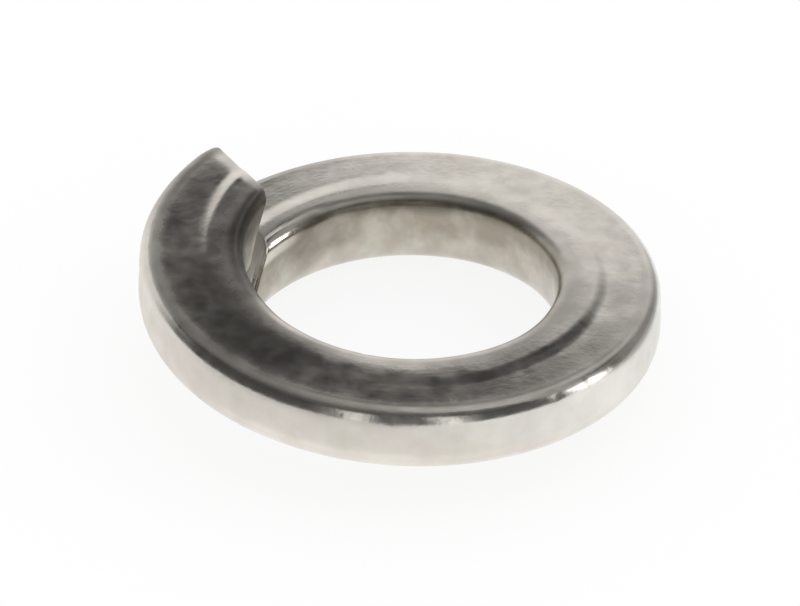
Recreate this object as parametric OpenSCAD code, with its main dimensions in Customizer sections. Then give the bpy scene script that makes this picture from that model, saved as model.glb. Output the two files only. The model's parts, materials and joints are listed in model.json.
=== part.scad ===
// Spring lock washer for an M8 screw: one turn of rounded rectangular wire,
// coiled left-handed, cut through on a slant, its two ends sprung apart.
// Millimetres, +Z along the screw. The origin is on the screw's axis, halfway
// up the coil. Angles are in degrees, counter-clockwise from +X.

/* [Wire] */
// Diameter of the hole for the screw
bore_d = 8.7; // [8.2:0.1:8.9]
// Width of the wire, from the bore to the outside
wire_w = 2.9; // [2.8:0.05:3.1]
// Thickness of the wire at its outer edge
wire_t = 2; // [1.9:0.05:2.1]
// Thickness of the wire at the bore, where coiling has pressed it thicker
bore_t = 2.24; // [2:0.01:2.4]

/* [Edges] */
// Rounding of the upper outer edge
outer_top_r = 0.58; // [0.3:0.01:0.7]
// Rounding of the upper inner edge
inner_top_r = 0.5; // [0.3:0.01:0.7]
// Rounding of the lower outer edge
outer_bottom_r = 0.7; // [0.3:0.01:0.7]
// Rounding of the lower inner edge
inner_bottom_r = 0.6; // [0.3:0.01:0.7]

/* [Rolled face] */
// Height of the raised track beside the bore
track_h = 0.05; // [0.02:0.01:0.08]
// Width of that track, from the bore
track_w = 1.15; // [1:0.05:1.4]
// Width of the slope down from the track
track_slope_w = 0.35; // [0.1:0.05:0.4]

/* [Coil] */
// How far one end has sprung up above the other
spring_rise = 1.88; // [1:0.01:2.6]

/* [Cut] */
// Direction of the cut, seen from above
cut_angle = 121; // [0:1:359]
// Distance from the screw's axis to the line of the cut
cut_offset = 2.6; // [1.5:0.1:3]
// Lean of the cut away from the screw's axis
cut_slant = 29; // [0:1:35]
// Width of the cut, measured round the coil with the ends pressed level
cut_gap = 0.1; // [0.05:0.01:0.5]

/* [Hidden] */

bore_r = bore_d / 2;
outer_r = bore_r + wire_w;
full_turn = 360;
coil_steps = 144;
edge_steps = 6;
wall_steps = 180;
// The swept wire passes both walls by this much, so that true cylinders cut them
wall_extra = 0.02;
// Room above and below the coil for the cylinders that cut its walls
cutter_h = 2 * (bore_t + spring_rise);
middle_angle = cut_angle + asin(cut_offset / (bore_r + wire_w / 2)) + full_turn / 2;

// Points of a rounded corner, as [radius, height], between two angles
function corner(centre_r, centre_z, round_r, from) = [
    for (i = [0 : edge_steps])
        let (a = from + 90 * i / edge_steps)
        [centre_r + round_r * cos(a), centre_z + round_r * sin(a)]
];

// Moves the points of a straight wall outwards or inwards, so that they pass it
function past_walls(p) = [
    p[0] > outer_r - wall_extra ? p[0] + wall_extra
    : p[0] < bore_r + wall_extra ? p[0] - wall_extra
    : p[0],
    p[1]
];

// Spreads a point of the plain section up or down, as the wire thickens to the bore
function thickened(p) =
    let (inward = (outer_r - p[0]) / wire_w)
    [p[0], p[1] * (1 + inward * (bore_t / wire_t - 1))];

plain_section = concat(
    corner(outer_r - outer_bottom_r, outer_bottom_r - wire_t / 2, outer_bottom_r, 270),
    corner(outer_r - outer_top_r, wire_t / 2 - outer_top_r, outer_top_r, 0),
    [[bore_r + track_w + track_slope_w, wire_t / 2]],
    [[bore_r + track_w, wire_t / 2 + track_h]],
    corner(bore_r + inner_top_r, wire_t / 2 + track_h - inner_top_r, inner_top_r, 90),
    corner(bore_r + inner_bottom_r, inner_bottom_r - wire_t / 2, inner_bottom_r, 180)
);
section = [for (p = plain_section) thickened(past_walls(p))];
section_size = len(section);

// Angle at which the cut meets a point of the section, at the upper end
function cut_at(p) = cut_angle + asin((cut_offset - p[1] * tan(cut_slant)) / p[0]);

// Angle taken up by the cut at one radius
function gap_angle(r) = full_turn * cut_gap / (2 * PI * r);

// A point of the section carried part of the way from the lower end to the upper
function carried(p, part) =
    let (a = cut_at(p) + (1 - part) * (full_turn - gap_angle(p[0])))
    [
        p[0] * cos(a),
        p[0] * sin(a),
        p[1] + spring_rise * (middle_angle - a) / full_turn
    ];

section_middle = [bore_r + wire_w / 2, 0];
coil_points = [
    for (i = [0 : coil_steps], p = section) carried(p, i / coil_steps)
];
end_points = [carried(section_middle, 0), carried(section_middle, 1)];
low_middle = len(coil_points);
high_middle = low_middle + 1;

// Index of a point, the section counted round and round
function at(i, j) = i * section_size + j % section_size;

coil_faces = [
    for (i = [0 : coil_steps - 1], j = [0 : section_size - 1], half = [0, 1])
        half == 0
            ? [at(i, j), at(i + 1, j), at(i + 1, j + 1)]
            : [at(i, j), at(i + 1, j + 1), at(i, j + 1)]
];
end_faces = [
    for (j = [0 : section_size - 1], upper = [0, 1])
        upper == 0
            ? [low_middle, at(0, j), at(0, j + 1)]
            : [high_middle, at(coil_steps, j + 1), at(coil_steps, j)]
];

// The whole washer: the coiled wire, its two walls cut to true cylinders
module split_ring() {
    color("darkgray")
    intersection() {
        difference() {
            polyhedron(concat(coil_points, end_points), concat(coil_faces, end_faces));
            cylinder(h = cutter_h, r = bore_r, center = true, $fn = wall_steps);
        }
        cylinder(h = cutter_h, r = outer_r, center = true, $fn = wall_steps);
    }
}

split_ring();
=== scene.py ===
"""A spring lock washer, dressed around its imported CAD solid.

The washer is one left-hand turn of rounded rectangular wire. Its profile is
drawn on the plane of the cut, swept once round the screw's axis, closed at
both ends, and worn a little, all with the tools that a hand would use.
"""
import json
import math
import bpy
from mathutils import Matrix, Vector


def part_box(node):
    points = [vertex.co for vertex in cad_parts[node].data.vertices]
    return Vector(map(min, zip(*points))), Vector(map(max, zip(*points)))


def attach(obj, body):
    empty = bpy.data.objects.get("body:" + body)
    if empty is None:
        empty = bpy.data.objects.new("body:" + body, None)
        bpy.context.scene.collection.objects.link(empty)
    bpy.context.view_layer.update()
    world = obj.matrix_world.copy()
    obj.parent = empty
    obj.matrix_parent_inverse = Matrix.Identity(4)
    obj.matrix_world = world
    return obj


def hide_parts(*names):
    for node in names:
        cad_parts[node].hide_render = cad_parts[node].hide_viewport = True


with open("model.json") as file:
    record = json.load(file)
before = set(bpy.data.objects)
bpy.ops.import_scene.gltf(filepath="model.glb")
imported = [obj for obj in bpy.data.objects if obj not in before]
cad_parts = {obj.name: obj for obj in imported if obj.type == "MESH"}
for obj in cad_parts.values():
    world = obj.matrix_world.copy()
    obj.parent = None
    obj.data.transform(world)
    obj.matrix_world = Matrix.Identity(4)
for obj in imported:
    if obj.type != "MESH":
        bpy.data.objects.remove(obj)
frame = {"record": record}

from types import SimpleNamespace

import bmesh
import bpy
from bpy.props import (
    FloatProperty,
    FloatVectorProperty,
    IntProperty,
    PointerProperty,
)
from mathutils import Matrix, Vector

bl_info = {
    "name": "Spring Lock Washer",
    "version": (1, 0, 0),
    "blender": (4, 5, 0),
    "location": "3D View > Sidebar > Spring Washer",
    "description": "Models a split spring lock washer and its small studio",
    "category": "Add Mesh",
}

MM = 0.001
FULL_TURN = 2 * math.pi
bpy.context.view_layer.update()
RING_LOW, RING_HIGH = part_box("split_ring")
BORE_MOUNT = next(m for m in frame["record"]["mounts"] if m["name"] == "bore")
# The two walls' radii and the length of the wire's middle line, in millimetres.
BORE_MM = BORE_MOUNT["dims"]["r_mm"]
OUTER_MM = RING_HIGH.x / MM
WIRE_MM = math.pi * (OUTER_MM + BORE_MM)
# How near to a place a point has to lie to be picked there.
NEAR = 0.01 * MM
# Sides of the section at least this long are straight, and are cut into short
# edges of about these lengths.
STRAIGHT = 0.3 * MM
UPPER_FACE_STEP = 0.05 * MM
OTHER_STEP = 0.1 * MM
# Edges that turn by more than this stay sharp.
SMOOTH_ANGLE = math.radians(40)


# ---------------------------------------------------------------- settings


def length(name, description, default):
    """A size in metres, shown with its unit."""
    return FloatProperty(
        name=name,
        description=description,
        default=default,
        min=0.0,
        subtype="DISTANCE",
        unit="LENGTH",
        precision=5,
    )


def angle(name, description, degrees):
    """An angle, kept in radians and shown in degrees."""
    return FloatProperty(
        name=name,
        description=description,
        default=math.radians(degrees),
        subtype="ANGLE",
        unit="ROTATION",
    )


def colour(name, description, default):
    """An opaque colour."""
    return FloatVectorProperty(
        name=name,
        description=description,
        default=default,
        size=3,
        min=0.0,
        max=1.0,
        subtype="COLOR",
    )


def share(name, description, default, highest=1.0):
    """A plain factor from nothing upwards."""
    return FloatProperty(
        name=name,
        description=description,
        default=default,
        min=0.0,
        max=highest,
        subtype="FACTOR",
    )


class WasherSizes(bpy.types.PropertyGroup):
    """Sizes of the coiled wire."""

    bore_radius: length("Bore radius", "Radius of the screw's hole", BORE_MM * MM)
    outer_radius: length("Outer radius", "Radius of the outer wall", RING_HIGH.x)
    outer_thickness: length(
        "Outer thickness", "Wire thickness at the outer edge", 2.0 * MM
    )
    bore_thickness: length("Bore thickness", "Wire thickness at the bore", 2.24 * MM)
    outer_top_round: length(
        "Outer top edge", "Rounding of the upper outer edge", 0.46 * MM
    )
    inner_top_round: length(
        "Inner top edge", "Rounding of the upper inner edge", 0.48 * MM
    )
    outer_bottom_round: length(
        "Outer bottom edge", "Rounding of the lower outer edge", 0.7 * MM
    )
    inner_bottom_round: length(
        "Inner bottom edge", "Rounding of the lower inner edge", 0.6 * MM
    )
    outer_top_drop: length(
        "Outer top drop", "How far down that rounding runs", 0.64 * MM
    )
    track_height: length(
        "Track height", "Height of the track beside the bore", 0.055 * MM
    )
    track_width: length("Track width", "Distance of its edge from the bore", 1.15 * MM)
    track_slope: length(
        "Track slope", "Width of the slope down from the track", 0.46 * MM
    )
    outer_ease: length(
        "Outer ease", "How far the outer wall leans in at its top", 0.03 * MM
    )
    outer_ease_reach: length(
        "Outer ease reach", "Height over which it does so", 0.75 * MM
    )
    crisp_corner: length(
        "Crisp corner", "How far less the outer edge is worn", 0.1 * MM
    )
    keen_edge: length(
        "Keen bore edge", "How far less the bore's edge is worn", 0.06 * MM
    )
    front_dip: length("Front dip", "How far the bore's edge is rubbed down", 0.04 * MM)
    spring_rise: length("Spring rise", "How far the upper end has sprung up", 1.88 * MM)
    cut_angle: angle("Cut angle", "Direction of the cut seen from above", 121)
    cut_offset: length(
        "Cut offset", "Distance from the axis to the cut's line", 2.6 * MM
    )
    cut_slant: angle("Cut slant", "Lean of the cut away from the axis", 29)
    cut_gap: length("Cut gap", "Width of the cut with the ends level", 0.1 * MM)
    cut_edge_round: length("Cut edge", "Wear of the cut's sharp edges", 0.045 * MM)
    cut_roll: length(
        "Cut roll", "How far the shears pressed the upper edge down", 0.13 * MM
    )
    cut_roll_reach: length(
        "Cut roll reach", "How far that runs along the wire", 0.5 * MM
    )
    coil_steps: IntProperty(
        name="Coil steps", description="Facets round the coil", default=330, min=60
    )
    wave_size: length("Wave size", "Breadth of the broad unevenness", 1.6 * MM)
    peen_size: length("Peening size", "Breadth of the tumbling marks", 0.42 * MM)
    nick_depth: length("Nick depth", "Depth of the nicks from tumbling", 0.028 * MM)
    wave_depth: length("Wave depth", "Depth of the broad unevenness", 0.016 * MM)
    peen_depth: length("Peening depth", "Depth of the tumbling marks", 0.002 * MM)


class SteelFinish(bpy.types.PropertyGroup):
    """Colours and gloss of the tumbled stainless steel."""

    bright: colour("Bright steel", "Clean, rubbed patches", (0.77, 0.73, 0.675))
    dull: colour("Dull steel", "Duller patches between them", (0.69, 0.65, 0.595))
    rosy: colour("Rosy patches", "Tint of the warmer patches", (1.0, 0.988, 0.985))
    olive: colour("Olive patches", "Tint of the greener patches", (0.995, 1.0, 0.975))
    # The bore's own tint, which the finish lays on more strongly towards the bore's
    # upper edge as painted shade.
    bore_tint_and_shade: colour("Bore tint", "Tint of the untumbled bore", (0.53, 0.51, 0.46))
    glancing: colour("Glancing", "Colour seen along the surface", (1.0, 1.0, 1.0))
    smooth: share("Smooth", "Roughness of rubbed patches", 0.17)
    rough: share("Rough", "Roughness of dull patches", 0.26)
    pits: share("Pits", "Strength of the fine pitting", 0.15)
    drawn_lines: share("Drawn lines", "Strength of the lines along the wire", 0.14)
    side_dulling: share("Side dulling", "Extra roughness of the outer wall", 0.15)
    rim_rub: share("Rim rub", "Extra roughness of the rubbed outer rim", 0.16)
    bore_rub: share("Bore rub", "Extra roughness of the bore's upper edge", 0.14)
    end_polish: share("End polish", "How much smoother it is at the lower end", 0.23)
    cut_rough: share("Cut roughness", "Extra roughness of the sheared ends", 0.3)
    cut_lines: share("Cut lines", "Strength of the lines down the sheared ends", 0.5)
    cut_dark: share("Cut darkness", "How much darker the sheared ends are", 0.3)


class StudioLook(bpy.types.PropertyGroup):
    """The floor, the surroundings, the lamps and the camera."""

    floor_size: length("Floor size", "Side of the square floor", 3.0)
    floor: colour("Floor", "Colour of the floor", (0.9, 0.9, 0.895))
    floor_glow: share("Floor glow", "How much of the floor shows as plain white", 0.84)
    fill: share("Fill", "Even light that reaches the floor from all round", 1.0)
    room: share("Room", "Brightness of the dim room above the sweep", 0.045)
    ceiling: share("Ceiling", "Brightness of the room straight overhead", 0.3)
    sweep_top: angle("Sweep top", "Height of the sweep's edge above the floor", 33)
    sweep_fall: share("Sweep fall", "How much lower the sweep is on the left", 0.1)
    lamp_distance: length("Lamp distance", "From the lamps to the washer", 500 * MM)
    overhead: share("Overhead", "Brightness of the overhead softbox", 0.38)
    side: share("Side", "Brightness of the side softbox", 2.5, 4.0)
    reflector: share("Reflector", "Brightness of the reflector over it", 0.3)
    strips: share("Strips", "Brightness of the two strip lights", 1.6, 4.0)
    rear: share("Rear", "Brightness of the softbox behind on the right", 0.45)
    # How the floor's mirrored glow is painted brighter and darker by place: painted
    # light and shade seen only in the steel.
    floor_behind: share("Floor behind", "How bright it is mirrored behind", 0.9)
    floor_near: share("Floor near", "How bright close by in front", 1.1, 2.0)
    floor_front: share("Floor in front", "How bright further off in front", 0.8)
    floor_lit: share("Floor lit", "How bright close by on the right", 1.2, 2.0)
    floor_far: share("Floor beside", "How bright far off on the right", 0.22)
    lit_tint: colour("Floor tint", "Its mirrored tint there", (0.935, 0.97, 1.0))
    floor_side: angle("Floor side", "Where the right is, turned from +X", -12)
    view_elevation: angle("View elevation", "Height the camera looks from", 34.92)
    view_roll: angle("View roll", "Lean of the camera about its own axis", 1.14)
    view_distance: length("View distance", "From the camera to the washer", 217.5 * MM)
    view_lens: FloatProperty(
        name="Lens",
        description="Focal length in millimetres",
        default=353.0,
        min=1.0,
        unit="CAMERA",
    )
    view_drop: length("View drop", "How far below the origin the view aims", 0.048 * MM)


# ------------------------------------------------------------ mesh helpers


def new_primitive(add, **settings):
    """Adds a primitive with nothing else selected, and returns its object."""
    bpy.ops.object.select_all(action="DESELECT")
    add(**settings)
    return bpy.context.object


def select_only(piece):
    """Makes one object the active and only selected one."""
    bpy.ops.object.select_all(action="DESELECT")
    piece.select_set(True)
    bpy.context.view_layer.objects.active = piece


def place_into_mesh(piece):
    """Moves an object's place, turn and scale into its mesh."""
    select_only(piece)
    bpy.ops.object.transform_apply(location=True, rotation=True, scale=True)


def pick(piece, kind, wanted):
    """In edit mode, selects the vertices or edges for which wanted is true."""
    bpy.ops.mesh.select_mode(type=kind)
    bpy.ops.mesh.select_all(action="DESELECT")
    edit = bmesh.from_edit_mesh(piece.data)
    items = edit.verts if kind == "VERT" else edit.edges
    found = [item for item in items if wanted(item)]
    if not found:
        raise RuntimeError("nothing lies where a vertex or edge was expected")
    for item in found:
        item.select = True
    edit.select_flush_mode()
    bmesh.update_edit_mesh(piece.data, loop_triangles=False, destructive=False)


def edge_middle(edge):
    """The point halfway along an edge."""
    return (edge.verts[0].co + edge.verts[1].co) / 2


def apply_modifier(piece, kind, name, **settings):
    """Adds one modifier, sets it and applies it."""
    modifier = piece.modifiers.new(name, kind)
    for key, value in settings.items():
        setattr(modifier, key, value)
    bpy.context.view_layer.objects.active = piece
    bpy.ops.object.modifier_apply(modifier=modifier.name)


# ----------------------------------------------------------------- profile


def middle_radius(sizes):
    """Radius of the wire's middle line."""
    return (sizes.bore_radius + sizes.outer_radius) / 2


def draw_profile(sizes):
    """The wire's section: a plane shaped to a keystone, its corners rounded."""
    middle = middle_radius(sizes)
    width = sizes.outer_radius - sizes.bore_radius
    profile = new_primitive(
        bpy.ops.mesh.primitive_plane_add,
        size=1,
        location=(middle, 0, 0),
        rotation=(math.pi / 2, 0, 0),
    )
    profile.name = "split_ring_steel"
    profile.data.name = "split_ring_steel"
    profile.scale = (width, sizes.outer_thickness, 1)
    place_into_mesh(profile)

    bpy.ops.object.mode_set(mode="EDIT")
    thicken = (sizes.bore_thickness - sizes.outer_thickness) / 2
    for side in (1, -1):
        pick(profile, "VERT", lambda v: v.co.x < middle and v.co.z * side > 0)
        bpy.ops.transform.translate(value=(0, 0, side * thicken))

    corners = (
        (1, 1, sizes.outer_top_round),
        (-1, 1, sizes.inner_top_round),
        (1, -1, sizes.outer_bottom_round),
        (-1, -1, sizes.inner_bottom_round),
    )
    half = sizes.outer_thickness / 2
    for outward, upward, round_radius in corners:
        pick(
            profile,
            "VERT",
            lambda v: (v.co.x - middle) * outward > width / 2 - NEAR
            and v.co.z * upward > half - NEAR,
        )
        bpy.ops.mesh.bevel(
            offset=round_radius, segments=8, affect="VERTICES", profile=0.5
        )
    bpy.ops.mesh.select_all(action="SELECT")
    bpy.ops.mesh.delete(type="ONLY_FACE")
    stretch_outer_round(profile, sizes)
    split_straights(profile, sizes)
    ease_outer_wall(profile, sizes)
    bpy.ops.object.mode_set(mode="OBJECT")
    return profile


def split_straights(profile, sizes):
    """Cuts the section's straight sides into short edges, finest on the top."""
    edit = bmesh.from_edit_mesh(profile.data)
    sides = []
    for side in edit.edges:
        if side.calc_length() > STRAIGHT:
            middle = edge_middle(side)
            on_top = middle.z > sizes.outer_thickness / 4
            step = UPPER_FACE_STEP if on_top else OTHER_STEP
            sides.append((middle, round(side.calc_length() / step)))
    for middle, pieces in sides:
        pick(
            profile,
            "EDGE",
            lambda e: (edge_middle(e) - middle).length < NEAR
            and e.calc_length() > STRAIGHT,
        )
        bpy.ops.mesh.subdivide(number_cuts=pieces - 1)


def stretch_outer_round(profile, sizes):
    """Draws the upper outer rounding down the wall, as rolled wire has it."""
    start = sizes.outer_radius - sizes.outer_top_round
    half = sizes.outer_thickness / 2
    low = half - sizes.outer_top_round
    pick(profile, "VERT", lambda v: v.co.x > start - NEAR and v.co.z > low - NEAR)
    bpy.ops.transform.resize(
        value=(1, 1, sizes.outer_top_drop / sizes.outer_top_round),
        center_override=(0, 0, half),
    )


def ease_outer_wall(profile, sizes):
    """Leans the outer wall in, so that it runs softly into its upper edge."""
    start = sizes.outer_radius - sizes.outer_top_round
    low = sizes.outer_thickness / 2 - sizes.outer_top_drop
    pick(profile, "VERT", lambda v: v.co.x > start - NEAR and v.co.z > low - NEAR)
    bpy.ops.transform.translate(
        value=(-sizes.outer_ease, 0, 0),
        use_proportional_edit=True,
        use_proportional_connected=True,
        proportional_size=sizes.outer_ease_reach,
        proportional_edit_falloff="SHARP",
    )


def note_section(profile):
    """Keeps each point's place in the section, in order, for the finish."""
    return [(v.co.x / MM, v.co.z / MM) for v in profile.data.vertices]


def write_wire_places(piece, section, sizes):
    """Stores on every point of the swept skin how far along the wire it lies,
    and its radius and height in the section, all in millimetres."""
    places = piece.data.attributes.new("wire", "FLOAT_VECTOR", "POINT")
    step_length = FULL_TURN * middle_radius(sizes) / MM / sizes.coil_steps
    for index, place in enumerate(places.data):
        step, point = divmod(index, len(section))
        place.vector = (step * step_length, *section[point])


def turn_onto_cut(profile, sizes):
    """Turns each point of the section about the axis until it lies on the cut,
    and lifts it to the height that the coil has there."""
    from_middle = math.asin(sizes.cut_offset / middle_radius(sizes))
    middle_turn = sizes.cut_angle + from_middle + math.pi
    bpy.ops.object.mode_set(mode="EDIT")
    count = len(bmesh.from_edit_mesh(profile.data).verts)
    for index in range(count):
        edit = bmesh.from_edit_mesh(profile.data)
        edit.verts.ensure_lookup_table()
        radius, _, height = edit.verts[index].co
        from_line = sizes.cut_offset - height * math.tan(sizes.cut_slant)
        turn = sizes.cut_angle + math.asin(from_line / radius)
        lift = sizes.spring_rise * (middle_turn - turn) / FULL_TURN
        pick(profile, "VERT", lambda v: v.index == index)
        bpy.ops.transform.rotate(
            value=-turn,
            orient_axis="Z",
            orient_type="GLOBAL",
            center_override=(0, 0, 0),
        )
        bpy.ops.transform.translate(value=(0, 0, lift))
    bpy.ops.object.mode_set(mode="OBJECT")


def sweep_coil(profile, section, sizes):
    """Sweeps the section once round, going down, and closes its two ends."""
    swept = FULL_TURN - sizes.cut_gap / middle_radius(sizes)
    apply_modifier(
        profile,
        "SCREW",
        "Coil",
        axis="Z",
        angle=swept,
        screw_offset=-sizes.spring_rise * swept / FULL_TURN,
        steps=sizes.coil_steps,
        render_steps=sizes.coil_steps,
        use_smooth_shade=True,
    )
    write_wire_places(profile, section, sizes)
    bpy.ops.object.mode_set(mode="EDIT")
    bpy.ops.mesh.select_mode(type="EDGE")
    bpy.ops.mesh.select_all(action="DESELECT")
    bpy.ops.mesh.select_non_manifold(extend=False)
    bpy.ops.mesh.edge_face_add()
    bpy.ops.mesh.select_all(action="SELECT")
    bpy.ops.mesh.normals_make_consistent(inside=False)
    soften_cut(profile, sizes)
    bpy.ops.object.mode_set(mode="OBJECT")


def soften_cut(piece, sizes):
    """Bevels the sharp edges of the two end faces, which are the only faces
    with more than four corners."""
    pick(piece, "EDGE", lambda e: any(len(f.verts) > 4 for f in e.link_faces))
    bpy.ops.mesh.bevel(
        offset=sizes.cut_edge_round, segments=3, affect="EDGES", profile=0.5
    )


def smooth(part):
    """Goes softly from 0 to 1 while the part does."""
    part = min(1.0, max(0.0, part))
    return part * part * (3.0 - 2.0 * part)


def strength_at(stops, along):
    """Reads a list of (place along the wire, strength) pairs."""
    for (start, low), (end, high) in zip(stops, stops[1:]):
        if along <= end:
            return low + (high - low) * smooth((along - start) / (end - start))
    return stops[-1][1]


# How clearly the rolled track shows, against the place along the wire in
# millimetres from the upper end. Weights are held between 0 and 1, so here and
# below a strength above 1 broadens a mark, and one below 0 ends it sooner.
TRACK_STRENGTH = (
    (0.0, 1.4),
    (4.9, 1.62),
    (7.8, 0.3),
    (12.5, 0.05),
    (15.4, 0.6),
    (18.0, 1.0),
    (20.8, 0.9),
    (24.0, 0.2),
    (30.5, 0.15),
    (33.5, 0.6),
    (36.5, 0.85),
)
# How much wider than usual the track's slope is, likewise.
TRACK_SPREAD = (
    (0.0, 1.35),
    (6.0, 1.35),
    (12.0, 1.0),
    (26.0, 1.0),
    (31.0, 1.3),
    (36.5, 1.3),
)
# How far the track's edge strays from its usual distance to the bore, likewise,
# in millimetres.
TRACK_STRAY = (
    (0.0, 0.05),
    (3.0, -0.09),
    (8.0, -0.12),
    (15.0, 0.25),
    (17.2, 0.13),
    (20.0, 0.08),
    (22.3, -0.15),
    (27.0, -0.05),
    (31.0, -0.05),
    (36.5, -0.2),
)
# Where the upper outer edge has kept more of its corner, likewise.
CRISP_STRENGTH = (
    (0.0, 1.0),
    (2.2, 0.9),
    (7.0, 0.0),
    (13.0, 0.0),
    (16.0, 0.3),
    (20.0, 0.35),
    (23.0, 0.5),
    (36.5, 0.2),
)
# Where the bore's upper edge has kept more of its corner, likewise.
KEEN_STRENGTH = (
    (0.0, 1.3),
    (4.0, 1.1),
    (8.5, 0.0),
    (17.0, 0.0),
    (20.5, 1.2),
    (24.0, 1.2),
    (28.0, 0.8),
    (33.0, 0.9),
    (34.8, -0.9),
    (36.5, -0.9),
)
# Where the bore's upper edge is rubbed down, likewise.
RUB_STRENGTH = ((0.0, 0.0), (5.5, 0.0), (11.0, 1.0), (18.0, 0.1), (36.5, 0.0))
# How far over the upper face that rubbing reaches, in millimetres.
RUB_REACH = 0.7
# Heights in the section between which the track and the cut's roll set in.
TRACK_FOOT, TRACK_TOP = 0.6, 1.05
ROLL_FOOT, ROLL_TOP = -0.3, 0.9
# How strong the cut's roll is at the outer wall, against that at the bore.
ROLL_OUTSIDE = 0.6
# Weights below this are left out of the groups.
FAINTEST = 0.001


def track_weight(place, sizes):
    """1 on the track beside the bore, falling to 0 over its outer slope."""
    along, radius, height = place
    edge = (sizes.bore_radius + sizes.track_width) / MM
    edge += strength_at(TRACK_STRAY, along)
    slope = sizes.track_slope / MM * strength_at(TRACK_SPREAD, along)
    rise = smooth(0.5 + (edge - radius) / slope)
    onto_edge = smooth((height - TRACK_FOOT) / (TRACK_TOP - TRACK_FOOT))
    return rise * onto_edge * strength_at(TRACK_STRENGTH, along)


def crisp_weight(place, sizes):
    """1 halfway round the upper outer edge, falling to 0 where it meets the
    wall and the upper face."""
    along, radius, height = place
    outward = radius - (sizes.outer_radius - sizes.outer_top_round) / MM
    upward = height - (sizes.outer_thickness / 2 - sizes.outer_top_drop) / MM
    if outward <= 0 or upward <= 0:
        return 0.0
    across = outward / (sizes.outer_top_round / MM)
    up = upward / (sizes.outer_top_drop / MM)
    round_share = math.atan2(up, across) / (math.pi / 2)
    return math.sin(math.pi * round_share) * strength_at(CRISP_STRENGTH, along)


def keen_weight(place, sizes):
    """1 halfway round the bore's upper edge, falling softly to 0 where it meets
    the bore and the upper face."""
    along, radius, height = place
    inward = (sizes.bore_radius + sizes.inner_top_round) / MM - radius
    upward = height - (sizes.bore_thickness / 2 - sizes.inner_top_round) / MM
    if inward <= 0 or upward <= 0:
        return 0.0
    round_share = math.atan2(upward, inward) / (math.pi / 2)
    return math.sin(math.pi * round_share) ** 2 * strength_at(KEEN_STRENGTH, along)


def rub_weight(place, sizes):
    """1 at the bore's upper edge in front, falling to 0 over the upper face."""
    along, radius, height = place
    corner = (sizes.bore_radius + sizes.inner_top_round) / MM
    away = max(0.0, radius - corner) / RUB_REACH
    over_face = max(0.0, 1.0 - away) ** 2 if height > 0 else 0.0
    return over_face * strength_at(RUB_STRENGTH, along)


# Nicks from tumbling: place along the wire, radius, height and size, in mm.
NICKS = (
    (17.1, 7.16, 0.83, 0.2),
    (13.2, 7.2, 0.75, 0.16),
    (27.6, 7.16, 0.82, 0.18),
    (33.1, 7.12, 0.88, 0.18),
    (4.4, 7.18, 0.8, 0.18),
    (11.2, 4.5, 0.95, 0.18),
)


def nick_weight(place, sizes):
    """1 at the bottom of a nick, falling softly to 0 at its edge."""
    weight = 0.0
    for along, radius, height, size in NICKS:
        away = math.dist(place, (along, radius, height)) / size
        weight = max(weight, 1.0 - away * away)
    return weight**2


def roll_weight(place, sizes):
    """1 at the upper end's upper edge, most towards the bore, falling to 0
    down the cut and back along the wire."""
    along, radius, height = place
    back = max(0.0, 1.0 - along / (sizes.cut_roll_reach / MM)) ** 2
    width = (sizes.outer_radius - sizes.bore_radius) / MM
    inward = (sizes.outer_radius / MM - radius) / width
    down = smooth((height - ROLL_FOOT) / (ROLL_TOP - ROLL_FOOT))
    return back * down * (ROLL_OUTSIDE + (1.0 - ROLL_OUTSIDE) * inward)


def press_skin(piece, sizes):
    """Moves the skin in six marks, with groups that are painted by place."""
    marks = (
        ("Rolled track", track_weight, "Z", sizes.track_height),
        ("Rubbed bore edge", rub_weight, "Z", -sizes.front_dip),
        ("Crisp corner", crisp_weight, "NORMAL", sizes.crisp_corner),
        ("Keen bore edge", keen_weight, "NORMAL", sizes.keen_edge),
        ("Cut roll", roll_weight, "Z", -sizes.cut_roll),
        ("Nicks", nick_weight, "NORMAL", -sizes.nick_depth),
    )
    places = [tuple(p.vector) for p in piece.data.attributes["wire"].data]
    for name, weight_of, direction, lift in marks:
        group = piece.vertex_groups.new(name=name)
        for index, place in enumerate(places):
            weight = weight_of(place, sizes)
            if weight > FAINTEST:
                group.add([index], weight, "REPLACE")
        apply_modifier(
            piece,
            "DISPLACE",
            name,
            vertex_group=name,
            direction=direction,
            mid_level=0.0,
            strength=lift,
        )


def cloud(name, size):
    """Soft noise with features of about the given size."""
    texture = bpy.data.textures.new(name, "CLOUDS")
    texture.noise_scale = size
    texture.noise_depth = 2
    texture.noise_basis = "ORIGINAL_PERLIN"
    return texture


def wear_surface(piece, sizes):
    """Gives the skin the low waves and peening of tumbled steel, inwards only."""
    for name, size, depth in (
        ("Low waves", sizes.wave_size, sizes.wave_depth),
        ("Peening", sizes.peen_size, sizes.peen_depth),
    ):
        apply_modifier(
            piece,
            "DISPLACE",
            name,
            texture=cloud(name, size),
            texture_coords="LOCAL",
            direction="NORMAL",
            mid_level=1.0,
            strength=depth,
        )


# --------------------------------------------------------------- materials


def add_node(tree, kind, place, **values):
    """Adds a shader node; values name its attributes or its inputs."""
    node = tree.nodes.new(kind)
    node.location = place
    for key, value in values.items():
        if hasattr(node, key):
            setattr(node, key, value)
        else:
            node.inputs[key.replace("_", " ")].default_value = value
    return node


def opaque(rgb):
    """A colour with its alpha."""
    return (*rgb, 1.0)


def grey(level):
    """An even grey with its alpha."""
    return (level, level, level, 1.0)


def noise(tree, vector, place, scale, detail, roughness=0.5):
    """Soft noise over a vector, from 0 to 1."""
    texture = add_node(
        tree,
        "ShaderNodeTexNoise",
        place,
        Scale=scale,
        Detail=detail,
        Roughness=roughness,
    )
    tree.links.new(vector, texture.inputs["Vector"])
    return texture.outputs["Fac"]


def scaled(tree, vector, place, scale):
    """A vector with each of its parts scaled."""
    mapping = add_node(tree, "ShaderNodeMapping", place)
    mapping.inputs["Scale"].default_value = scale
    tree.links.new(vector, mapping.inputs["Vector"])
    return mapping.outputs["Vector"]


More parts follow.
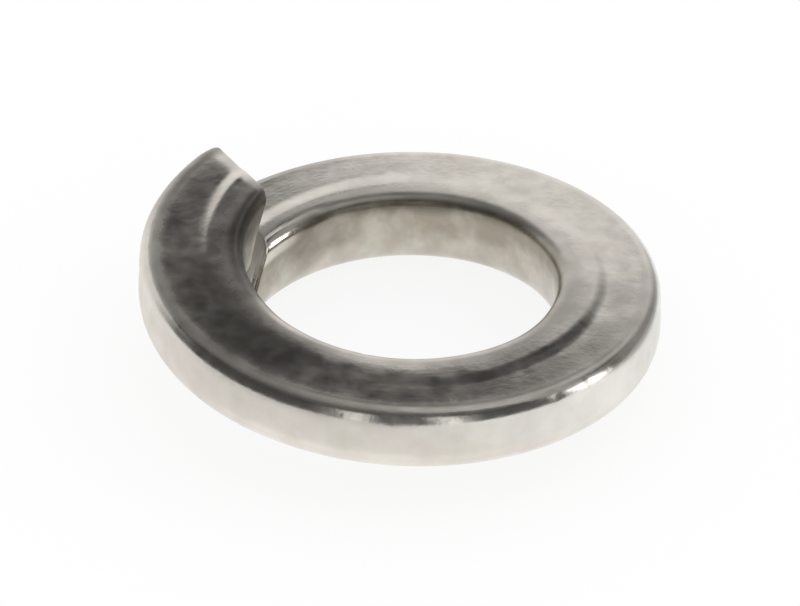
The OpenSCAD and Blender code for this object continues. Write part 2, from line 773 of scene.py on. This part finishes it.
def band(tree, value, span, height=1.0):
    """Rises softly from nothing to the height while the value goes from the
    start of the span to its end."""
    rise = add_node(
        tree, "ShaderNodeMapRange", (-900, -150), interpolation_type="SMOOTHSTEP"
    )
    rise.inputs["From Min"].default_value, rise.inputs["From Max"].default_value = span
    rise.inputs["To Max"].default_value = height
    tree.links.new(value, rise.inputs["Value"])
    return rise.outputs["Result"]


def remap(tree, value, span, onto):
    """Goes evenly from the one end of a range to the other, and stays in it,
    while the value goes from the start of the span to its end."""
    node = add_node(tree, "ShaderNodeMapRange", (-900, 800))
    node.inputs["From Min"].default_value, node.inputs["From Max"].default_value = span
    node.inputs["To Min"].default_value, node.inputs["To Max"].default_value = onto
    tree.links.new(value, node.inputs["Value"])
    return node.outputs["Result"]


def combine(tree, operation, values):
    """Takes values together, one after the other."""
    result = values[0]
    for value in values[1:]:
        node = add_node(tree, "ShaderNodeMath", (-650, -150), operation=operation)
        tree.links.new(result, node.inputs[0])
        tree.links.new(value, node.inputs[1])
        result = node.outputs["Value"]
    return result


def total(tree, *values):
    """Adds values up."""
    return combine(tree, "ADD", values)


def product(tree, *values):
    """Multiplies values."""
    return combine(tree, "MULTIPLY", values)


def two_tone(tree, value, place, low, high):
    """A colour that goes from one to the other with the value. Each end is a
    pair of the value and its colour."""
    ramp = add_node(tree, "ShaderNodeValToRGB", place)
    for element, (position, rgb) in zip(ramp.color_ramp.elements, (low, high)):
        element.position = position
        element.color = opaque(rgb)
    tree.links.new(value, ramp.inputs["Fac"])
    return ramp.outputs["Color"]


def mixed(tree, place, factor, first, second, blend_type="MIX"):
    """Mixes two colours. The factor and the colours are each either a plain
    value or another node's output."""
    mix = add_node(
        tree, "ShaderNodeMix", place, data_type="RGBA", blend_type=blend_type
    )
    for name, value in (("Factor", factor), ("A", first), ("B", second)):
        if isinstance(value, bpy.types.NodeSocket):
            tree.links.new(value, mix.inputs[name])
        else:
            mix.inputs[name].default_value = value
    return mix.outputs["Result"]


def bump(tree, height, place, strength, distance, under=None):
    """A bump, laid over another one where there is one."""
    node = add_node(
        tree, "ShaderNodeBump", place, Strength=strength, Distance=distance
    )
    tree.links.new(height, node.inputs["Height"])
    if under is not None:
        tree.links.new(under, node.inputs["Normal"])
    return node.outputs["Normal"]


# Where each mark of the finish sets in and where it is full, in millimetres.
# These are radii in the section, from the outer wall inwards.
OUTER_WALL = (OUTER_MM - 0.1, OUTER_MM - 0.03)
RIM_FALL = (OUTER_MM - 0.32, OUTER_MM - 0.24)
RIM_RISE = (OUTER_MM - 0.78, OUTER_MM - 0.36)
BORE_RIM = (BORE_MM + 0.95, BORE_MM + 0.35)
BORE_EDGE = (BORE_MM + 0.42, BORE_MM + 0.32)
BORE_WALL = (BORE_MM + 0.32, BORE_MM + 0.05)
# These are heights in the section.
BORE_DEPTH = (-1.0, 0.6)
UPPER_FACE = (0.4, 0.6)
UPPER_EDGE = (0.45, 0.65)
# These are places along the wire, from the upper end.
UPPER_CUT = (0.04, 0.01)
RIM_PART = (26.0, 22.0)
# The next span is where the bore's tint is left off, a painted brightening of the lower
# end's glint.
GLINT_BRIGHTENING_END = (33.8, 35.4)
SMOOTH_END = (34.2, 35.2)
LOWER_CUT = (WIRE_MM - 0.04, WIRE_MM - 0.01)
# This is the part of its range that a noise mostly keeps to.
NOISE_SPAN = (0.35, 0.65)


def stainless_steel(finish):
    """Tumbled stainless steel: rubbed and dull patches, pits, lines drawn along
    the wire, and a warmer, duller bore that the tumbling hardly reached, darkened
    further towards its upper edge by painted shade."""
    material = bpy.data.materials.new("tumbled_stainless_steel")
    material.use_nodes = True
    tree = material.node_tree
    shader = tree.nodes["Principled BSDF"]
    shader.inputs["Metallic"].default_value = 1.0
    shader.inputs["Specular Tint"].default_value = opaque(finish.glancing)
    link = tree.links.new

    place = add_node(tree, "ShaderNodeTexCoord", (-1700, 0))
    wire = add_node(tree, "ShaderNodeAttribute", (-1700, -600), attribute_name="wire")
    parts = add_node(tree, "ShaderNodeSeparateXYZ", (-1500, -800))
    link(wire.outputs["Vector"], parts.inputs["Vector"])
    along, radius, height = (parts.outputs[axis] for axis in "XYZ")
    skin = SimpleNamespace(
        in_mm=scaled(tree, place.outputs["Object"], (-1500, 0), (1 / MM,) * 3),
        wire=wire.outputs["Vector"],
        along=along,
        radius=radius,
        height=height,
        cut=total(tree, band(tree, along, UPPER_CUT), band(tree, along, LOWER_CUT)),
    )
    link(steel_colour(tree, skin, finish), shader.inputs["Base Color"])
    link(steel_roughness(tree, skin, finish), shader.inputs["Roughness"])
    link(steel_bumps(tree, skin, finish), shader.inputs["Normal"])
    return material


def steel_colour(tree, skin, finish):
    """Bright and dull patches with a faint change of hue, a browner bore with
    painted shade towards its upper edge, its tint left off where the lower end's
    glint falls as a painted brightening of that glint, spots of dark film and
    painted shade, and darker sheared ends."""
    patches = noise(tree, skin.in_mm, (-1200, 300), 0.9, 3.0, 0.55)
    tint = two_tone(
        tree, patches, (-900, 300), (0.36, finish.dull), (0.64, finish.bright)
    )
    tarnish = noise(tree, skin.in_mm, (-1200, 1400), 0.75, 2.0)
    hue = two_tone(
        tree, tarnish, (-900, 1400), (0.4, finish.rosy), (0.6, finish.olive)
    )
    steel = mixed(tree, (-700, 1300), 1.0, tint, hue, "MULTIPLY")

    # The bore's tint, strongest towards its upper edge: its own browner tone, with
    # painted shade there.
    tinted = product(
        tree,
        band(tree, skin.radius, BORE_WALL),
        remap(tree, skin.height, BORE_DEPTH, (0.3, 1.0)),
        remap(tree, patches, NOISE_SPAN, (1.25, 0.75)),
    )
    # Painted highlight: the tint is left off at the lower end's upper bore edge, so
    # that the glint there shows whiter.
    glint_brightening = product(
        tree,
        band(tree, skin.along, GLINT_BRIGHTENING_END, -1.0),
        band(tree, skin.height, UPPER_EDGE),
    )
    tinted = total(tree, tinted, product(tree, tinted, glint_brightening))
    steel = mixed(
        tree, (-550, 400), tinted, steel, opaque(finish.bore_tint_and_shade), "MULTIPLY"
    )
    # Dark film and painted shade, spot by spot.
    for centre, size, depth in FILM_AND_SHADE_SPOTS:
        steel = add_film_and_shade(tree, skin.wire, patches, steel, centre, size, depth)
    darker = grey(1.0 - finish.cut_dark)
    return mixed(tree, (-400, 500), skin.cut, steel, darker, "MULTIPLY")


def steel_roughness(tree, skin, finish):
    """Rubbed and dull patches; rougher on the outer wall, by the rubbed edges
    and on the sheared ends, and smoother by the bore at the lower end."""
    gloss = noise(tree, skin.in_mm, (-1200, 0), 1.6, 4.0, 0.6)
    near_rim = total(
        tree,
        band(tree, skin.radius, RIM_RISE, finish.rim_rub),
        band(tree, skin.radius, RIM_FALL, -finish.rim_rub),
    )
    rubbed = total(
        tree,
        product(tree, near_rim, band(tree, skin.along, RIM_PART)),
        band(tree, skin.radius, BORE_RIM, finish.bore_rub),
    )
    return total(
        tree,
        remap(tree, gloss, NOISE_SPAN, (finish.smooth, finish.rough)),
        band(tree, skin.radius, OUTER_WALL, finish.side_dulling),
        product(tree, rubbed, band(tree, skin.height, UPPER_FACE)),
        product(
            tree,
            band(tree, skin.along, SMOOTH_END, -finish.end_polish),
            band(tree, skin.radius, BORE_EDGE),
        ),
        band(tree, skin.cut, (0.0, 1.0), finish.cut_rough),
    )


def steel_bumps(tree, skin, finish):
    """Fine pits all over, lines drawn along the wire, and lines that the shears
    left down the cut."""
    pits = noise(tree, skin.in_mm, (-1200, -300), 5.0, 3.0, 0.6)
    pitted = bump(tree, pits, (-600, -300), finish.pits, 0.02 * MM)
    along = scaled(tree, skin.wire, (-1200, -600), (0.5, 9.0, 9.0))
    lines = noise(tree, along, (-900, -600), 1.0, 3.0)
    drawn = bump(tree, lines, (-350, -400), finish.drawn_lines, 0.01 * MM, pitted)
    down = scaled(tree, skin.wire, (-1200, -900), (1.0, 9.0, 0.8))
    shear = product(tree, noise(tree, down, (-900, -900), 1.0, 3.0), skin.cut)
    return bump(tree, shear, (-150, -500), finish.cut_lines, 0.05 * MM, drawn)


# Dark spots on the steel's colour, partly dark film and partly painted shade
# that darkens what the steel mirrors. Each gives its middle and half size along
# the wire, in radius and in height, in millimetres, and how much light the spot
# takes there.
FILM_AND_SHADE_SPOTS = (
    ((2.5, 4.5, 0.6), (6.5, 1.1, 1.6), 0.6),
    ((0.6, 7.1, 0.8), (3.4, 0.75, 1.2), 0.55),
    ((8.5, 5.8, 1.0), (5.0, 1.3, 0.9), 0.5),
    ((2.2, 6.2, 1.0), (4.0, 0.7, 0.6), 0.4),
    ((3.0, 4.6, 1.0), (6.5, 0.3, 0.4), 0.5),
    ((35.2, 7.0, 0.9), (4.5, 0.8, 0.8), 0.4),
    # Painted shade: a dark break in the outer edge's highlight.
    ((18.0, 7.14, 0.88), (0.17, 0.25, 0.25), 0.6),
    ((34.8, 7.15, 0.8), (6.0, 0.45, 0.5), 0.4),
    # These two are painted shade: the dark streak along the slope beside the rolled
    # track, where the steel mirrors the dim room.
    ((19.3, 5.58, 1.1), (4.6, 0.24, 0.6), 0.6),
    ((15.4, 5.74, 1.1), (2.6, 0.24, 0.6), 0.3),
    ((19.0, 5.1, 1.1), (6.0, 1.4, 0.9), 0.28),
    ((33.6, 4.35, 0.3), (3.0, 0.5, 1.0), 0.3),
    ((17.0, 6.3, 1.0), (7.5, 0.75, 0.8), 0.3),
    ((30.0, 4.43, 0.76), (6.0, 0.14, 0.3), 0.5),
    # Painted shade over a light line that the bore's upper edge mirrors at the lower
    # end.
    ((33.2, 4.6, 0.97), (4.6, 0.18, 0.2), 0.3),
)
# Where a dark spot sets in and where it is full, in half sizes from its middle,
# and how far the steel's patches may pull that in.
FILM_AND_SHADE_EDGE = (1.25, 0.45)
FILM_AND_SHADE_RAGGED = 0.5


def add_film_and_shade(tree, wire, patches, colour_in, centre, size, depth):
    """Darkens a colour by a soft, uneven spot round one place on the wire: dark
    film, and painted shade where the spot darkens what the steel mirrors.
    """
    link = tree.links.new
    offset = add_node(tree, "ShaderNodeMapping", (-1200, 1100), vector_type="POINT")
    offset.inputs["Scale"].default_value = [1 / s for s in size]
    offset.inputs["Location"].default_value = [-c / s for c, s in zip(centre, size)]
    link(wire, offset.inputs["Vector"])
    away = add_node(tree, "ShaderNodeVectorMath", (-1000, 1100), operation="LENGTH")
    link(offset.outputs["Vector"], away.inputs[0])
    uneven = add_node(tree, "ShaderNodeMath", (-850, 1100), operation="MULTIPLY_ADD")
    uneven.inputs[1].default_value = FILM_AND_SHADE_RAGGED
    link(patches, uneven.inputs[0])
    link(away.outputs["Value"], uneven.inputs[2])
    film_and_shade = band(tree, uneven.outputs["Value"], FILM_AND_SHADE_EDGE, depth)
    return mixed(tree, (-500, 1100), film_and_shade, colour_in, grey(0.0), "MULTIPLY")


# Where the painted light and shade in the floor's mirrored glow change and
# where they have changed, in metres: behind the axis and in front of it, away
# from it, from right to left, and towards the bright side, close by and far off.
FLOOR_BEHIND = (0.0, 12 * MM)
FLOOR_AHEAD = (-2 * MM, -6 * MM)
FLOOR_AWAY = (9.2 * MM, 11.5 * MM)
FLOOR_ACROSS = (13 * MM, -2 * MM)
FLOOR_SIDE_NEAR = (6 * MM, 8.5 * MM)
FLOOR_SIDE_FAR = (7.5 * MM, 17 * MM)
# How far forwards or back those two reach.
FLOOR_LIT_REACH = (-8.5 * MM, -3 * MM)
FLOOR_FAR_REACH = (-4 * MM, 3 * MM)


def floor_material(look):
    """A pale floor that shows as near white and keeps the washer's shadow. The
    glow that the steel mirrors from it is painted brighter and darker by place:
    painted light and shade that only reflections show.
    """
    material = bpy.data.materials.new("pale_floor")
    material.use_nodes = True
    tree = material.node_tree
    shader = tree.nodes["Principled BSDF"]
    shader.inputs["Base Color"].default_value = opaque(look.floor)
    shader.inputs["Roughness"].default_value = 0.9
    shader.inputs["Specular IOR Level"].default_value = 0.1
    output = tree.nodes["Material Output"]
    link = tree.links.new

    paths = add_node(tree, "ShaderNodeLightPath", (-500, 400))
    mirrored = paths.outputs["Is Glossy Ray"]
    seen = add_node(tree, "ShaderNodeMath", (-300, 400), operation="MAXIMUM")
    link(paths.outputs["Is Camera Ray"], seen.inputs[0])
    link(mirrored, seen.inputs[1])
    amount = add_node(tree, "ShaderNodeMath", (-100, 400), operation="MULTIPLY")
    amount.inputs[1].default_value = look.floor_glow
    link(seen.outputs["Value"], amount.inputs[0])

    place = add_node(tree, "ShaderNodeTexCoord", (-900, -300))
    parts = add_node(tree, "ShaderNodeSeparateXYZ", (-700, -300))
    link(place.outputs["Object"], parts.inputs["Vector"])
    across, back = parts.outputs["X"], parts.outputs["Y"]
    toward = add_node(
        tree, "ShaderNodeVectorMath", (-700, -500), operation="DOT_PRODUCT"
    )
    way = (math.cos(look.floor_side), math.sin(look.floor_side), 0)
    toward.inputs[1].default_value = way
    link(place.outputs["Object"], toward.inputs[0])
    beside = toward.outputs["Value"]
    distance = add_node(tree, "ShaderNodeVectorMath", (-700, -700), operation="LENGTH")
    link(place.outputs["Object"], distance.inputs[0])
    away = distance.outputs["Value"]

    behind = band(tree, back, FLOOR_BEHIND, look.floor_behind - 1.0)
    ahead = band(tree, back, FLOOR_AHEAD, look.floor_near - 1.0)
    further = product(
        tree,
        band(tree, away, FLOOR_AWAY, look.floor_front - look.floor_near),
        band(tree, across, FLOOR_ACROSS),
        band(tree, back, FLOOR_AHEAD),
    )
    aside = product(
        tree,
        band(tree, beside, FLOOR_SIDE_FAR, look.floor_far - 1.0),
        band(tree, back, FLOOR_FAR_REACH),
    )
    lit = product(
        tree,
        band(tree, beside, FLOOR_SIDE_NEAR, look.floor_lit - 1.0),
        band(tree, back, FLOOR_LIT_REACH),
    )
    # Painted light and shade in the glow that only the steel's reflections see.
    shade = product(tree, total(tree, behind, ahead, further, aside, lit), mirrored)
    level = add_node(tree, "ShaderNodeMath", (-100, -300), operation="ADD")
    level.inputs[1].default_value = 1.0
    link(shade, level.inputs[0])
    cooled = product(tree, band(tree, beside, FLOOR_SIDE_NEAR), mirrored)
    cool = mixed(tree, (-100, -500), cooled, grey(1.0), opaque(look.lit_tint))
    white = add_node(tree, "ShaderNodeEmission", (100, -300))
    link(level.outputs["Value"], white.inputs["Strength"])
    link(cool, white.inputs["Color"])

    mix = add_node(tree, "ShaderNodeMixShader", (350, 200))
    link(amount.outputs["Value"], mix.inputs["Fac"])
    link(shader.outputs["BSDF"], mix.inputs[1])
    link(white.outputs["Emission"], mix.inputs[2])
    link(mix.outputs["Shader"], output.inputs["Surface"])
    return material


# ------------------------------------------------------------------ studio


def build_surroundings(look):
    """A white sweep that stands low behind the washer, in a dim room."""
    world = bpy.data.worlds.new("studio")
    bpy.context.scene.world = world
    world.use_nodes = True
    tree = world.node_tree
    link = tree.links.new
    background = tree.nodes["Background"]
    background.inputs["Strength"].default_value = 1.0

    way = add_node(tree, "ShaderNodeTexCoord", (-1500, 0))
    parts = add_node(tree, "ShaderNodeSeparateXYZ", (-1300, 0))
    link(way.outputs["Generated"], parts.inputs["Vector"])
    across, up = parts.outputs["X"], parts.outputs["Z"]
    around = add_node(
        tree, "ShaderNodeTexGradient", (-1300, 200), gradient_type="RADIAL"
    )
    link(way.outputs["Generated"], around.inputs["Vector"])

    levels = [(turn_share(turn), level) for turn, level in SWEEP_LEVELS]
    sweep = grey_ramp(tree, around.outputs["Fac"], (-1000, 200), levels)
    levels = [(rise, look.ceiling * level) for rise, level in ROOM_LEVELS]
    levels = [(ROOM_START, look.room), *levels]
    room = grey_ramp(tree, up, (-1000, -100), levels)
    lower = remap(tree, across, (0.0, -1.0), (0.0, look.sweep_fall))
    edge = math.sin(look.sweep_top)
    top = band(tree, total(tree, up, lower), (edge - SWEEP_BLUR, edge + SWEEP_BLUR))
    seen = mixed(tree, (-600, 100), top, sweep, room)

    paths = add_node(tree, "ShaderNodeLightPath", (-600, 500))
    mirrored, direct = paths.outputs["Is Glossy Ray"], paths.outputs["Is Camera Ray"]
    lit = mixed(tree, (-350, 200), mirrored, grey(look.fill), seen)
    shown = mixed(tree, (-150, 200), direct, lit, grey(1.0))
    link(shown, background.inputs["Color"])


# Brightness of what stands round the washer, low above the floor, against the
# turn in degrees from +X, counter-clockwise: dim sides, and the sweep at +Y.
SWEEP_LEVELS = (
    (-180, 0.06),
    (12, 0.08),
    (26, 0.24),
    (50, 0.28),
    (60, 0.45),
    (71, 0.88),
    (100, 0.94),
    (150, 0.8),
    (160, 0.4),
    (170, 0.1),
    (180, 0.06),
)
# How soft the sweep's upper edge is, as a share of the height seen, from 0 on
# the horizon to 1 overhead.
SWEEP_BLUR = 0.025
# Up to where the room is plain and dim, and how far it has reached the
# ceiling's brightness above that, against the same height.
ROOM_START = 0.62
ROOM_LEVELS = ((0.78, 0.3), (0.93, 0.65), (1.0, 1.0))


def turn_share(turn):
    """The radial gradient's value at a turn in degrees from +X."""
    return turn / 360 + 0.5


def grey_ramp(tree, value, place, stops):
    """A grey that follows (value, level) pairs."""
    node = add_node(tree, "ShaderNodeValToRGB", place)
    ramp = node.color_ramp
    while len(ramp.elements) < len(stops):
        ramp.elements.new(0.5)
    for element, (position, _) in zip(ramp.elements, stops):
        element.position = position
    for element, (_, level) in zip(ramp.elements, stops):
        element.color = grey(level)
    tree.links.new(value, node.inputs["Fac"])
    return node.outputs["Color"]


# The area lamps: name, turn from +X, height above the floor and spread, seen
# from the washer in degrees, and the setting that says how bright each looks.
SOFTBOXES = (
    ("overhead_softbox", 10, 72, (38, 32), "overhead"),
    ("rear_softbox", 52, 46, (20, 28), "rear"),
    ("side_softbox", -2.5, 10, (17, 33), "side"),
    ("side_reflector", 0, 41, (26, 28), "reflector"),
    ("right_strip", -67, 15, (7, 46), "strips"),
    ("left_strip", -105, 15, (7, 46), "strips"),
)


def add_softbox(look, name, turn, height, spread, setting):
    """Adds one area lamp, which faces the washer."""
    turn, height = math.radians(turn), math.radians(height)
    toward = Vector(
        (
            math.cos(turn) * math.cos(height),
            math.sin(turn) * math.cos(height),
            math.sin(height),
        )
    )
    wide, tall = (
        2 * look.lamp_distance * math.tan(math.radians(s) / 2) for s in spread
    )
    bpy.ops.object.select_all(action="DESELECT")
    bpy.ops.object.light_add(
        type="AREA",
        location=toward * look.lamp_distance,
        rotation=toward.to_track_quat("Z", "Y").to_euler(),
    )
    lamp = bpy.context.object
    lamp.name = name
    lamp.data.shape = "RECTANGLE"
    lamp.data.size = wide
    lamp.data.size_y = tall
    lamp.data.energy = getattr(look, setting) * math.pi * wide * tall
    lamp.visible_camera = False


def add_camera(look):
    """The camera, looking down over the near side of the washer."""
    stand = Matrix.Rotation(math.pi / 2 - look.view_elevation, 4, "X")
    turn = stand @ Matrix.Rotation(look.view_roll, 4, "Z")
    aim = turn @ Vector((0, -look.view_drop, 0))
    place = aim + turn @ Vector((0, 0, look.view_distance))
    bpy.ops.object.select_all(action="DESELECT")
    bpy.ops.object.camera_add(location=place, rotation=turn.to_euler())
    camera = bpy.context.object
    camera.name = "camera"
    camera.data.lens = look.view_lens
    camera.data.sensor_width = 36.0
    camera.data.clip_start = 0.01
    bpy.context.scene.camera = camera


# --------------------------------------------------------------- operators


class WASHER_OT_split_ring(bpy.types.Operator):
    """Model the coiled, cut and worn steel ring over its CAD solid"""

    bl_idname = "washer.split_ring"
    bl_label = "Split Ring"

    def execute(self, context):
        sizes = context.scene.washer_sizes
        ring = draw_profile(sizes)
        section = note_section(ring)
        turn_onto_cut(ring, sizes)
        sweep_coil(ring, section, sizes)
        press_skin(ring, sizes)
        wear_surface(ring, sizes)
        select_only(ring)
        bpy.ops.object.shade_smooth_by_angle(angle=SMOOTH_ANGLE)
        ring.data.materials.append(stainless_steel(context.scene.steel_finish))
        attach(ring, "root")
        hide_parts("split_ring")
        return {"FINISHED"}


class WASHER_OT_studio(bpy.types.Operator):
    """Set the pale floor, the white sweep, the lamps and the camera"""

    bl_idname = "washer.studio"
    bl_label = "Studio"

    def execute(self, context):
        look = context.scene.studio_look
        floor = new_primitive(
            bpy.ops.mesh.primitive_plane_add,
            size=look.floor_size,
            location=(0, 0, RING_LOW.z),
        )
        floor.name = "floor"
        place_into_mesh(floor)
        floor.data.materials.append(floor_material(look))
        build_surroundings(look)
        for softbox in SOFTBOXES:
            add_softbox(look, *softbox)
        add_camera(look)
        return {"FINISHED"}


class WASHER_PT_sidebar(bpy.types.Panel):
    """Lists the washer's operators and settings"""

    bl_idname = "WASHER_PT_sidebar"
    bl_label = "Spring Lock Washer"
    bl_space_type = "VIEW_3D"
    bl_region_type = "UI"
    bl_category = "Spring Washer"

    def draw(self, context):
        layout = self.layout
        scene = context.scene
        for operator in OPERATORS:
            layout.operator(operator.bl_idname)
        for settings in (scene.washer_sizes, scene.steel_finish, scene.studio_look):
            box = layout.box()
            for name in settings.__annotations__:
                box.prop(settings, name)


SETTINGS = {
    "washer_sizes": WasherSizes,
    "steel_finish": SteelFinish,
    "studio_look": StudioLook,
}
OPERATORS = (WASHER_OT_split_ring, WASHER_OT_studio)
CLASSES = (*SETTINGS.values(), *OPERATORS, WASHER_PT_sidebar)


def register():
    """Registers the classes and hangs the settings on the scene."""
    for cls in CLASSES:
        bpy.utils.register_class(cls)
    for name, group in SETTINGS.items():
        setattr(bpy.types.Scene, name, PointerProperty(type=group))


def unregister():
    """Takes the settings and the classes away again."""
    for name in SETTINGS:
        delattr(bpy.types.Scene, name)
    for cls in reversed(CLASSES):
        bpy.utils.unregister_class(cls)


def main():
    """Builds the washer and its studio."""
    register()
    bpy.context.scene.view_settings.view_transform = "Standard"
    bpy.ops.washer.split_ring()
    bpy.ops.washer.studio()


if __name__ == "__main__":
    main()
